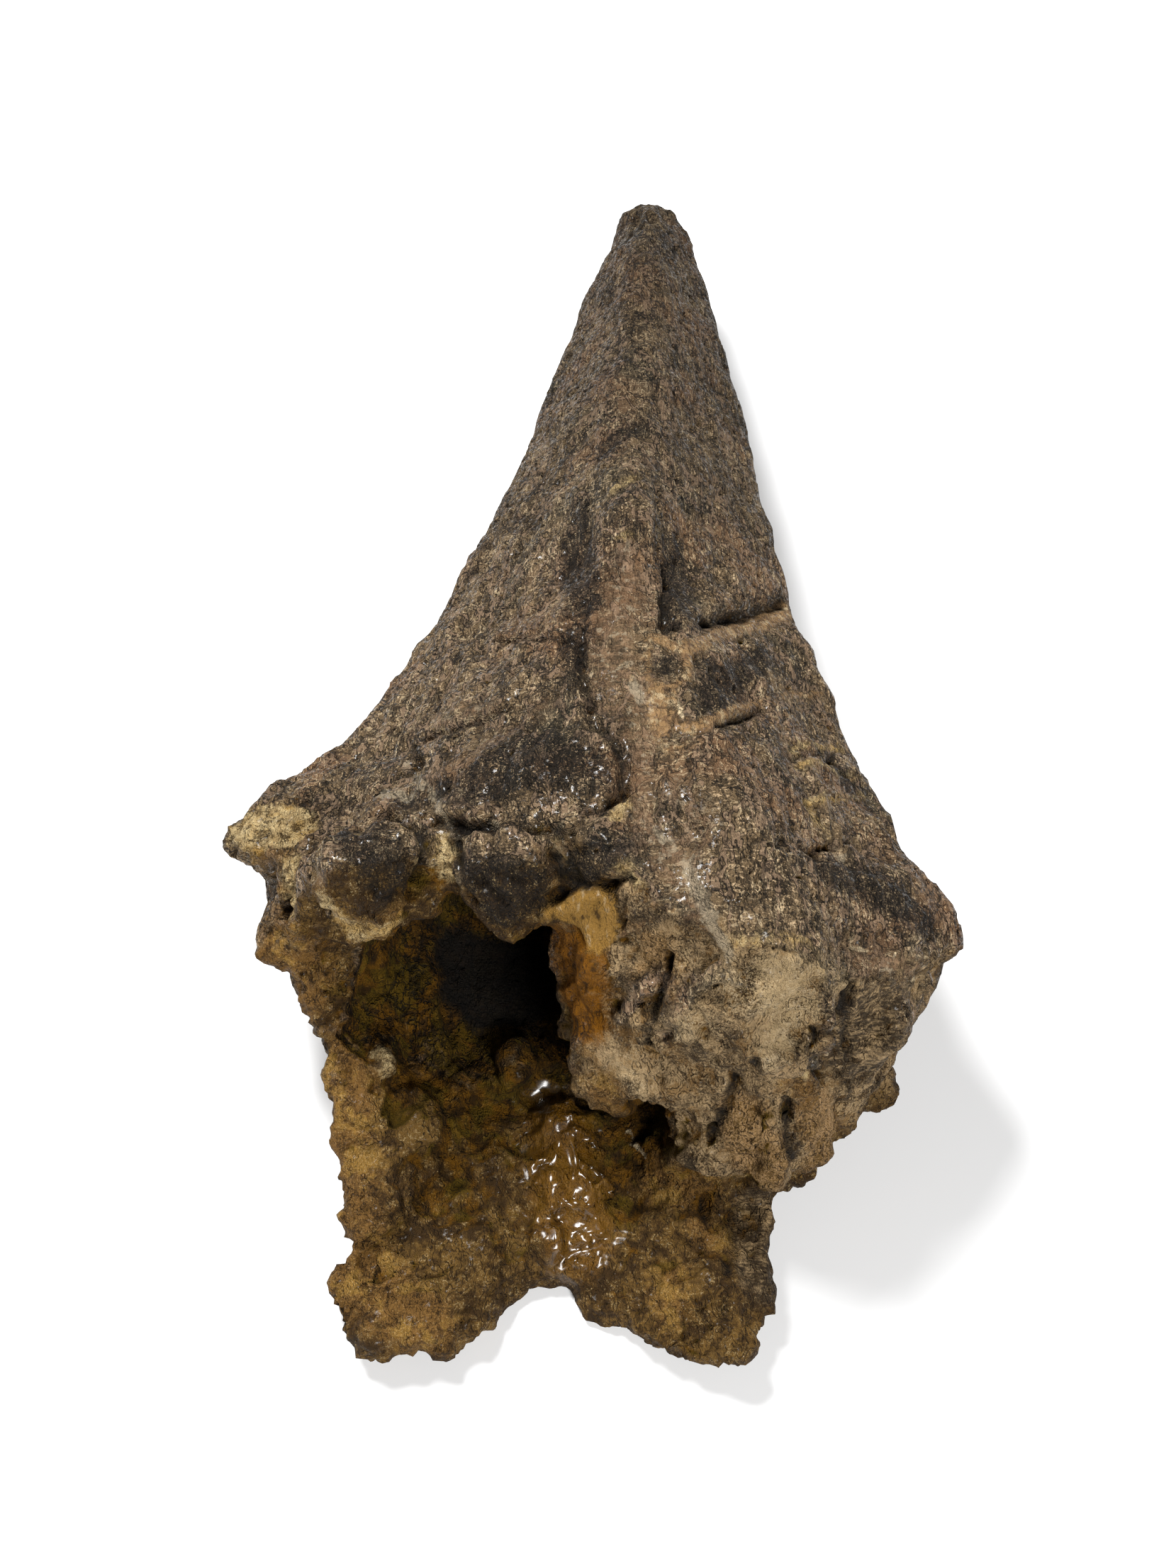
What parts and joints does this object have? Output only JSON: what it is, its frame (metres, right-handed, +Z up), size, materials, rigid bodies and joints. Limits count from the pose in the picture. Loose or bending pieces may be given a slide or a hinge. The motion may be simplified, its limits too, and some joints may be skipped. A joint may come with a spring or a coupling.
{
  "type": "fossil ankylosaur scute",
  "caption": "Fossil armour spike, a ridged hollow horn of dark brown bone with sharp side margins, a broken base and a rough ochre hollow. It lies on its flat belly.",
  "frame": {"origin": "middle of the bounding box's base, on the surface that the bone lies on", "axes": "+Y towards the tip of the spike, +X to the right seen from the broken base, +Z up through the crest"},
  "size_m": [0.15, 0.3072, 0.085],
  "materials": {
    "fossil_bone": "rough mineralised bone, dark grey-brown, with ochre in the hollow, filled cracks and a thin glossy consolidant"
  },
  "bodies": {
    "root": {"scute": "fossil_bone"}
  },
  "joints": []
}
